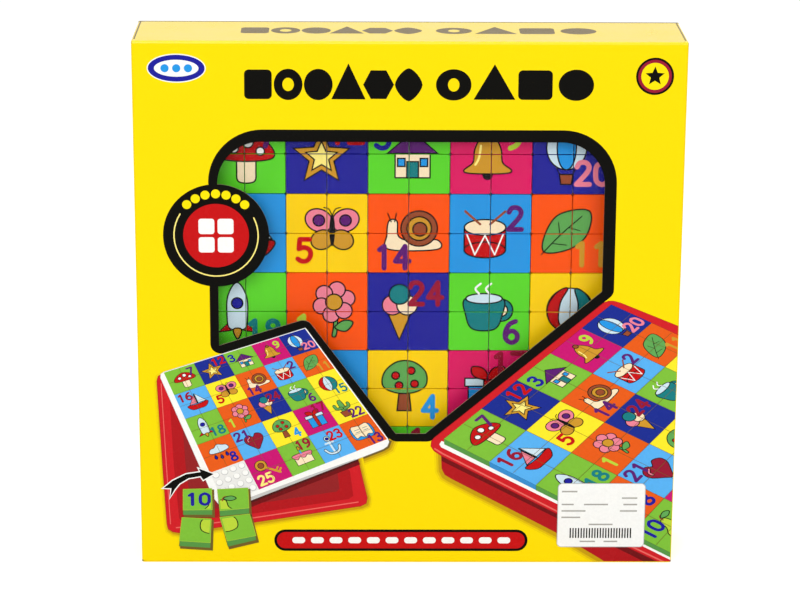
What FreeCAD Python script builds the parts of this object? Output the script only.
import FreeCAD, Part
import math
import os

# Boxed peg mosaic: a windowed display carton that holds a red tray, a white
# peg board and a field of square push-on tiles.
# Frame: millimetres, X to the right, Y to the back, Z up. The carton stands
# on its base, its front faces -Y, and the origin is the middle of its base.

# tiles
TILES_PER_SIDE = 10   # tiles along one side of the field
BLOCK = 2             # tiles along one side of a colour block
TILE_PITCH = 23.3
TILE_GAP = 0.4        # clear between two neighbours
TILE_HEIGHT = 7.0
TILE_TOP = 1.5        # thickness of the face
TILE_CORNER = 1.2     # radius of the upright edges
TILE_EDGE = 0.2       # radius round the face
NOTCH_WIDTH = 5.0     # arch in the foot of each side
NOTCH_HEIGHT = 1.5
TUBE_WALL = 1.2       # grip tube under the face

# pegs
PEGS_PER_TILE = 2     # along one side of a tile
PEG_DIAMETER = 7.5
PEG_HEIGHT = 2.5
PEG_FIT = 0.3         # clear between a peg and what grips it

# peg board
BOARD_MARGIN = 5.2    # beyond the field on each side
BOARD_CORNER = 9.0
BOARD_PLATE = 2.0
BOARD_DEPTH = 7.0     # with its skirt
BOARD_SKIRT = 1.6

# tray
BOARD_FIT = 0.6       # clear round the board in its recess
BOARD_SINK = 0.5      # board face below the rim
TRAY_DEPTH = 25.0
TRAY_WALL = 1.8
TRAY_FLOOR = 1.8
LEDGE = 3.5           # width of the step that carries the board
TRAY_TAPER = 4.0      # the floor is narrower by this on each side
LIP_OVERHANG = 3.5
LIP_BAND = 5.5
LIP_WALL = 1.6

# carton
CARD = 0.7
FOLD_ROUND = 0.55     # outside rounding of the folds
SIDE_ROOM = 27.4      # tray lip to the outside of the carton
BASE_ROOM = 21.9
TOP_ROOM = 32.9
FRONT_GAP = 12.0      # tile faces to the film
BACK_ROOM = 12.85     # tray floor to the back panel
LID_SIDE = 0.4        # clear at each end of the lid
LID_FIT = 0.3         # clear between the tuck tab's sweep and the back panel
TAB_LENGTH = 12.0
TAB_INSET = 3.0
TAB_CORNER = 7.0
FLAP_RATIO = 0.5      # top dust flaps turn half as far as the lid
FLAP_CLEAR = 1.0
FLAP_FREE = 1.5       # end of a top dust flap to the path of the tray
BASE_FLAP = 45.0
BASE_OVERLAP = 40.0   # inner base flap, front to back
GLUE_FLAP = 14.0
GLUE_END = 8.0        # glue flap to the end of the tuck tab

# window and its film
WINDOW_LEFT = 108.2   # from the middle of the front
WINDOW_RIGHT = 110.2
WINDOW_TOP = 252.8    # heights above the table
WINDOW_CORNER = 25.0
WINDOW_RIGHT_END = 165.6
WINDOW_FOOT = 79.8
FOOT_LEFT = -7.0
FOOT_RIGHT = 10.2
STEP_X = -58.0        # corner above the lower left picture
STEP_HEIGHT = 149.2
STEP_CORNER = 6.0
WINDOW_LEFT_END = 133.0
BADGE_X = -109.1
BADGE_HEIGHT = 198.2
BADGE_RADIUS = 30.0
FILM = 0.25
FILM_MARGIN = 8.0

# cardboard spacers round the tray
SPACER_CARD = 0.6
SPACER_FIT = 0.3      # clear to the tray that slides in front of and between
SPACER_END = 4.0      # below the tuck tab

BLOCKS = TILES_PER_SIDE // BLOCK
LOOSE_ROW = BLOCKS    # this block is four separate single tiles
LOOSE_COLUMN = 1

V = FreeCAD.Vector
X, Y, Z = V(1, 0, 0), V(0, 1, 0), V(0, 0, 1)

# sizes that follow
peg_pitch = TILE_PITCH / PEGS_PER_TILE
peg_radius = PEG_DIAMETER / 2
tile = TILE_PITCH - TILE_GAP
field = TILES_PER_SIDE * TILE_PITCH
board = field + 2 * BOARD_MARGIN
recess = board + 2 * BOARD_FIT
tray_body = recess + 2 * TRAY_WALL
lip = tray_body + 2 * LIP_OVERHANG
ledge_height = TRAY_DEPTH - BOARD_SINK - BOARD_DEPTH
board_top = TRAY_DEPTH - BOARD_SINK
toy_height = board_top + TILE_HEIGHT
width = lip + 2 * SIDE_ROOM
height = lip + BASE_ROOM + TOP_ROOM
depth = 2 * CARD + FILM + FRONT_GAP + toy_height + BACK_ROOM
front = -depth / 2
back = depth / 2
half = width / 2
toy_floor = front + CARD + FILM + FRONT_GAP + toy_height
toy_centre = BASE_ROOM + lip / 2
fold = min(FOLD_ROUND, 0.9 * CARD)

os.makedirs("parts", exist_ok=True)


def export(shape, name):
    shape.exportStep("parts/" + name + ".step")


def box(x0, x1, y0, y1, z0, z1):
    return Part.makeBox(x1 - x0, y1 - y0, z1 - z0, V(x0, y0, z0))


def prism(points, direction):
    return Part.Face(Part.makePolygon(points + points[:1])).extrude(direction)


def along(shape, direction, test):
    """Straight edges of shape along direction whose middle passes test."""
    found = []
    for edge in shape.Edges:
        if not isinstance(edge.Curve, Part.Line):
            continue
        if abs(abs(edge.Curve.Direction.dot(direction)) - 1) < 1e-6:
            if test(edge.CenterOfMass):
                found.append(edge)
    return found


def rounded(side, radius, z0, z1):
    """Square slab with rounded upright edges, centred on the Z axis."""
    slab = box(-side / 2, side / 2, -side / 2, side / 2, z0, z1)
    return slab.makeFillet(radius, along(slab, Z, lambda p: True))


def rounded_wire(side, radius, z):
    """Outline of a square with rounded corners at height z."""
    slab = rounded(side, radius, z, z + 1)
    foot = min(slab.Faces, key=lambda f: f.CenterOfMass.z)
    return foot.OuterWire


def stand(shape):
    """From the toy's own frame, lying face up, to its place in the carton."""
    placed = shape.copy()
    placed.rotate(V(0, 0, 0), X, 90)
    placed.translate(V(0, toy_floor, toy_centre))
    return placed


# ---- one tile, lying face up with its foot at z = 0
def make_tile():
    shell = rounded(tile, TILE_CORNER, 0, TILE_HEIGHT)
    face = max(shell.Faces, key=lambda f: f.CenterOfMass.z)
    shell = shell.makeFillet(min(TILE_EDGE, 0.9 * TILE_CORNER), face.Edges)
    reach = peg_pitch * (PEGS_PER_TILE - 1) / 2 + peg_radius + PEG_FIT
    hollow = TILE_HEIGHT - TILE_TOP
    shell = shell.cut(box(-reach, reach, -reach, reach, 0, hollow))
    arch = (NOTCH_WIDTH ** 2 / 4 + NOTCH_HEIGHT ** 2) / (2 * NOTCH_HEIGHT)
    drop = NOTCH_HEIGHT - arch
    notches = [
        Part.makeCylinder(arch, tile, V(-tile / 2, 0, drop), X),
        Part.makeCylinder(arch, tile, V(0, -tile / 2, drop), Y),
    ]
    shell = shell.cut(notches)
    grip = peg_pitch / math.sqrt(2) - peg_radius - PEG_FIT
    tube = Part.makeCylinder(grip, hollow)
    bore = Part.makeCylinder(grip - TUBE_WALL, hollow)
    return shell.fuse(tube.cut(bore)).removeSplitter()


def tile_at(row, column):
    """Tile in its place, row 0 at the top and column 0 at the left."""
    middle = (TILES_PER_SIDE - 1) / 2
    piece = TILE.copy()
    piece.translate(V(
        (column - middle) * TILE_PITCH,
        (middle - row) * TILE_PITCH,
        board_top,
    ))
    return stand(piece)


TILE = make_tile()
for block_row in range(BLOCKS):
    for block_column in range(BLOCKS):
        tiles = [
            tile_at(block_row * BLOCK + i, block_column * BLOCK + j)
            for i in range(BLOCK)
            for j in range(BLOCK)
        ]
        name = "tiles_r%dc%d" % (block_row + 1, block_column + 1)
        if (block_row + 1, block_column + 1) == (LOOSE_ROW, LOOSE_COLUMN):
            for number, piece in enumerate(tiles, start=1):
                export(piece, "tile_single_%d" % number)
        else:
            export(Part.makeCompound(tiles), name)


# ---- peg board: a skirted plate with a round peg at every crossing
def make_board():
    low = board_top - BOARD_DEPTH
    under = board_top - BOARD_PLATE
    inner = BOARD_CORNER - min(BOARD_SKIRT, 0.9 * BOARD_CORNER)
    plate = rounded(board, BOARD_CORNER, low, board_top)
    plate = plate.cut(rounded(board - 2 * BOARD_SKIRT, inner, low, under))
    top = max(plate.Faces, key=lambda f: f.CenterOfMass.z)
    faces = [f for f in plate.Faces if not f.isSame(top)]
    rings = []
    count = TILES_PER_SIDE * PEGS_PER_TILE
    middle = (count - 1) / 2
    for i in range(count):
        for j in range(count):
            x, y = (i - middle) * peg_pitch, (j - middle) * peg_pitch
            foot = Part.Circle(V(x, y, board_top), Z, peg_radius).toShape()
            head = Part.Circle(V(x, y, board_top + PEG_HEIGHT), Z, peg_radius)
            rings.append(Part.Wire(foot))
            faces.append(foot.extrude(V(0, 0, PEG_HEIGHT)))
            faces.append(Part.Face(Part.Wire(head.toShape())))
    pierced = Part.makeFace([top.OuterWire] + rings, "Part::FaceMakerBullseye")
    shell = Part.makeShell(faces + pierced.Faces)
    shell.sewShape()
    solid = Part.Solid(shell)
    if solid.Volume < 0:
        solid.reverse()
    return solid


export(stand(make_board()), "peg_board")


# ---- tray: tapered tub, step for the board, turned-down lip
def make_tray():
    neck = recess - 2 * LEDGE
    tub_corner = BOARD_CORNER + BOARD_FIT
    low_neck = neck - 2 * TRAY_TAPER
    outside = Part.makeLoft([
        rounded_wire(low_neck + 2 * TRAY_WALL, tub_corner, 0),
        rounded_wire(neck + 2 * TRAY_WALL, tub_corner, ledge_height),
    ], True, True)
    inside = Part.makeLoft([
        rounded_wire(low_neck, tub_corner - 1, TRAY_FLOOR),
        rounded_wire(neck, tub_corner - 1, ledge_height),
    ], True, True)
    shoulder = ledge_height - TRAY_WALL
    step = rounded(tray_body, tub_corner + TRAY_WALL, shoulder, TRAY_DEPTH)
    well = rounded(recess, tub_corner, ledge_height, TRAY_DEPTH)
    lip_corner = tub_corner + TRAY_WALL + LIP_OVERHANG
    band = rounded(lip, lip_corner, TRAY_DEPTH - LIP_BAND, TRAY_DEPTH)
    crown = max(band.Faces, key=lambda f: f.CenterOfMass.z)
    band = band.makeFillet(0.8 * LIP_WALL, crown.Edges)
    hem = rounded(
        lip - 2 * LIP_WALL,
        lip_corner - LIP_WALL,
        TRAY_DEPTH - LIP_BAND,
        TRAY_DEPTH - LIP_WALL,
    )
    return outside.fuse([step, band.cut(hem)]).cut([inside, well]).removeSplitter()


export(stand(make_tray()), "tray")


# ---- carton: panels of one printed blank, folded up
lid_reach = depth - CARD - LID_FIT
tab_tip = math.sqrt(lid_reach ** 2 - TAB_LENGTH ** 2)
lid_under = height - CARD
flap_under = height - 2 * CARD


def window_hole():
    corners = [
        (-WINDOW_LEFT, WINDOW_TOP),
        (WINDOW_RIGHT, WINDOW_TOP),
        (WINDOW_RIGHT, WINDOW_RIGHT_END),
        (FOOT_RIGHT, WINDOW_FOOT),
        (FOOT_LEFT, WINDOW_FOOT),
        (STEP_X, STEP_HEIGHT),
        (-WINDOW_LEFT, WINDOW_LEFT_END),
    ]
    hole = prism([V(x, front, z) for x, z in corners], V(0, CARD, 0))
    upper = along(hole, Y, lambda p: p.z > WINDOW_TOP - 1)
    hole = hole.makeFillet(WINDOW_CORNER, upper)
    step = along(hole, Y, lambda p: abs(p.x - STEP_X) < 1 and abs(p.z - STEP_HEIGHT) < 1)
    hole = hole.makeFillet(STEP_CORNER, step)
    badge = Part.makeCylinder(BADGE_RADIUS, CARD, V(BADGE_X, front, BADGE_HEIGHT), Y)
    return hole.cut(badge)


def make_front():
    panel = box(-half, half, front, front + CARD, 0, lid_under)
    outer = along(panel, Z, lambda p: p.y < front + CARD / 2)
    outer += along(panel, X, lambda p: p.y < front + CARD / 2 and p.z < CARD)
    return panel.makeFillet(fold, outer).cut(window_hole())


def make_back():
    panel = box(-half, half, back - CARD, back, 0, height)
    return panel.makeFillet(fold, along(panel, Z, lambda p: p.y > back - CARD / 2))


def make_lid():
    """Lid panel with its tuck tab, which leans in so that it clears the back."""
    end = half - LID_SIDE
    top = box(-end, end, front, front + lid_reach, lid_under, height)
    crease = along(top, X, lambda p: p.y < front + CARD and p.z > lid_under + CARD / 2)
    top = top.makeFillet(fold, crease)
    side = end - TAB_INSET
    profile = [
        V(-side, front + lid_reach, height - CARD / 2),
        V(-side, front + tab_tip, height - TAB_LENGTH),
        V(-side, front + tab_tip - CARD, height - TAB_LENGTH),
        V(-side, front + lid_reach - CARD, height - CARD / 2),
    ]
    tab = prism(profile, V(2 * side, 0, 0))
    cut = min(TAB_CORNER, TAB_LENGTH - 2 * CARD)
    low = height - TAB_LENGTH
    for sign in (-1, 1):
        corner = [
            V(sign * side, front, low),
            V(sign * (side - cut), front, low),
            V(sign * side, front, low + cut),
        ]
        tab = tab.cut(prism(corner, V(0, depth, 0)))
    return top.fuse(tab).removeSplitter()


def top_flap(sign):
    """Dust flap under the lid, cut back at the front so that the lid clears it."""
    length = half - lip / 2 - FLAP_FREE
    near = front + CARD + FLAP_CLEAR
    tip_near = near + FLAP_RATIO * length
    far = front + tab_tip - CARD - FLAP_CLEAR
    outline = [
        V(sign * half, near, flap_under),
        V(sign * (half - length), tip_near, flap_under),
        V(sign * (half - length), far - FLAP_CLEAR, flap_under),
        V(sign * half, far, flap_under),
    ]
    return prism(outline, V(0, 0, CARD))


inner = half - CARD
export(make_front(), "carton_front")
export(make_back(), "carton_back")
for sign, side in ((-1, "left"), (1, "right")):
    wall = sorted((sign * half, sign * inner))
    panel = box(wall[0], wall[1], front + CARD, back - CARD, 0, flap_under)
    export(panel, "carton_" + side)
    export(top_flap(sign), "dust_flap_" + side)
    reach = sorted((sign * inner, sign * (inner - BASE_FLAP)))
    flap = box(reach[0], reach[1], front + CARD, back - CARD, 2 * CARD, 3 * CARD)
    export(flap, "base_flap_" + side)
export(make_lid(), "carton_lid")
export(box(-inner, inner, front + CARD, back - CARD, 0, CARD), "base_outer")
overlap = box(-inner, inner, back - CARD - BASE_OVERLAP, back - CARD, CARD, 2 * CARD)
export(overlap, "base_inner")
glue_top = height - TAB_LENGTH - GLUE_END
glue_low = 3 * CARD + GLUE_END
glue = box(-inner, GLUE_FLAP - inner, back - 2 * CARD, back - CARD, glue_low, glue_top)
export(glue, "glue_flap")

film_inner = front + CARD + FILM
film = box(
    -WINDOW_LEFT - FILM_MARGIN,
    WINDOW_RIGHT + FILM_MARGIN,
    front + CARD,
    film_inner,
    WINDOW_FOOT - FILM_MARGIN,
    WINDOW_TOP + FILM_MARGIN,
)
export(film, "window_film")

# ---- spacers: folded cardboard sleeves beside and below the tray
spacer_front = toy_floor - (TRAY_DEPTH - LIP_BAND) + SPACER_FIT
spacer_back = back - 2 * CARD
channel = tray_body / 2 + SPACER_FIT
spacer_low = 3 * CARD
side_top = height - TAB_LENGTH - SPACER_END
base_top = toy_centre - channel


def sleeve(x0, x1, z0, z1, run):
    """Rectangular sleeve, open at both ends of the direction run."""
    tube = box(x0, x1, spacer_front, spacer_back, z0, z1)
    c = SPACER_CARD
    y0, y1 = spacer_front + c, spacer_back - c
    if run == "z":
        return tube.cut(box(x0 + c, x1 - c, y0, y1, z0, z1))
    return tube.cut(box(x0, x1, y0, y1, z0 + c, z1 - c))


export(sleeve(-inner, -channel, spacer_low, side_top, "z"), "spacer_left")
export(sleeve(channel, inner, spacer_low, side_top, "z"), "spacer_right")
export(sleeve(-channel, channel, spacer_low, base_top, "x"), "spacer_base")
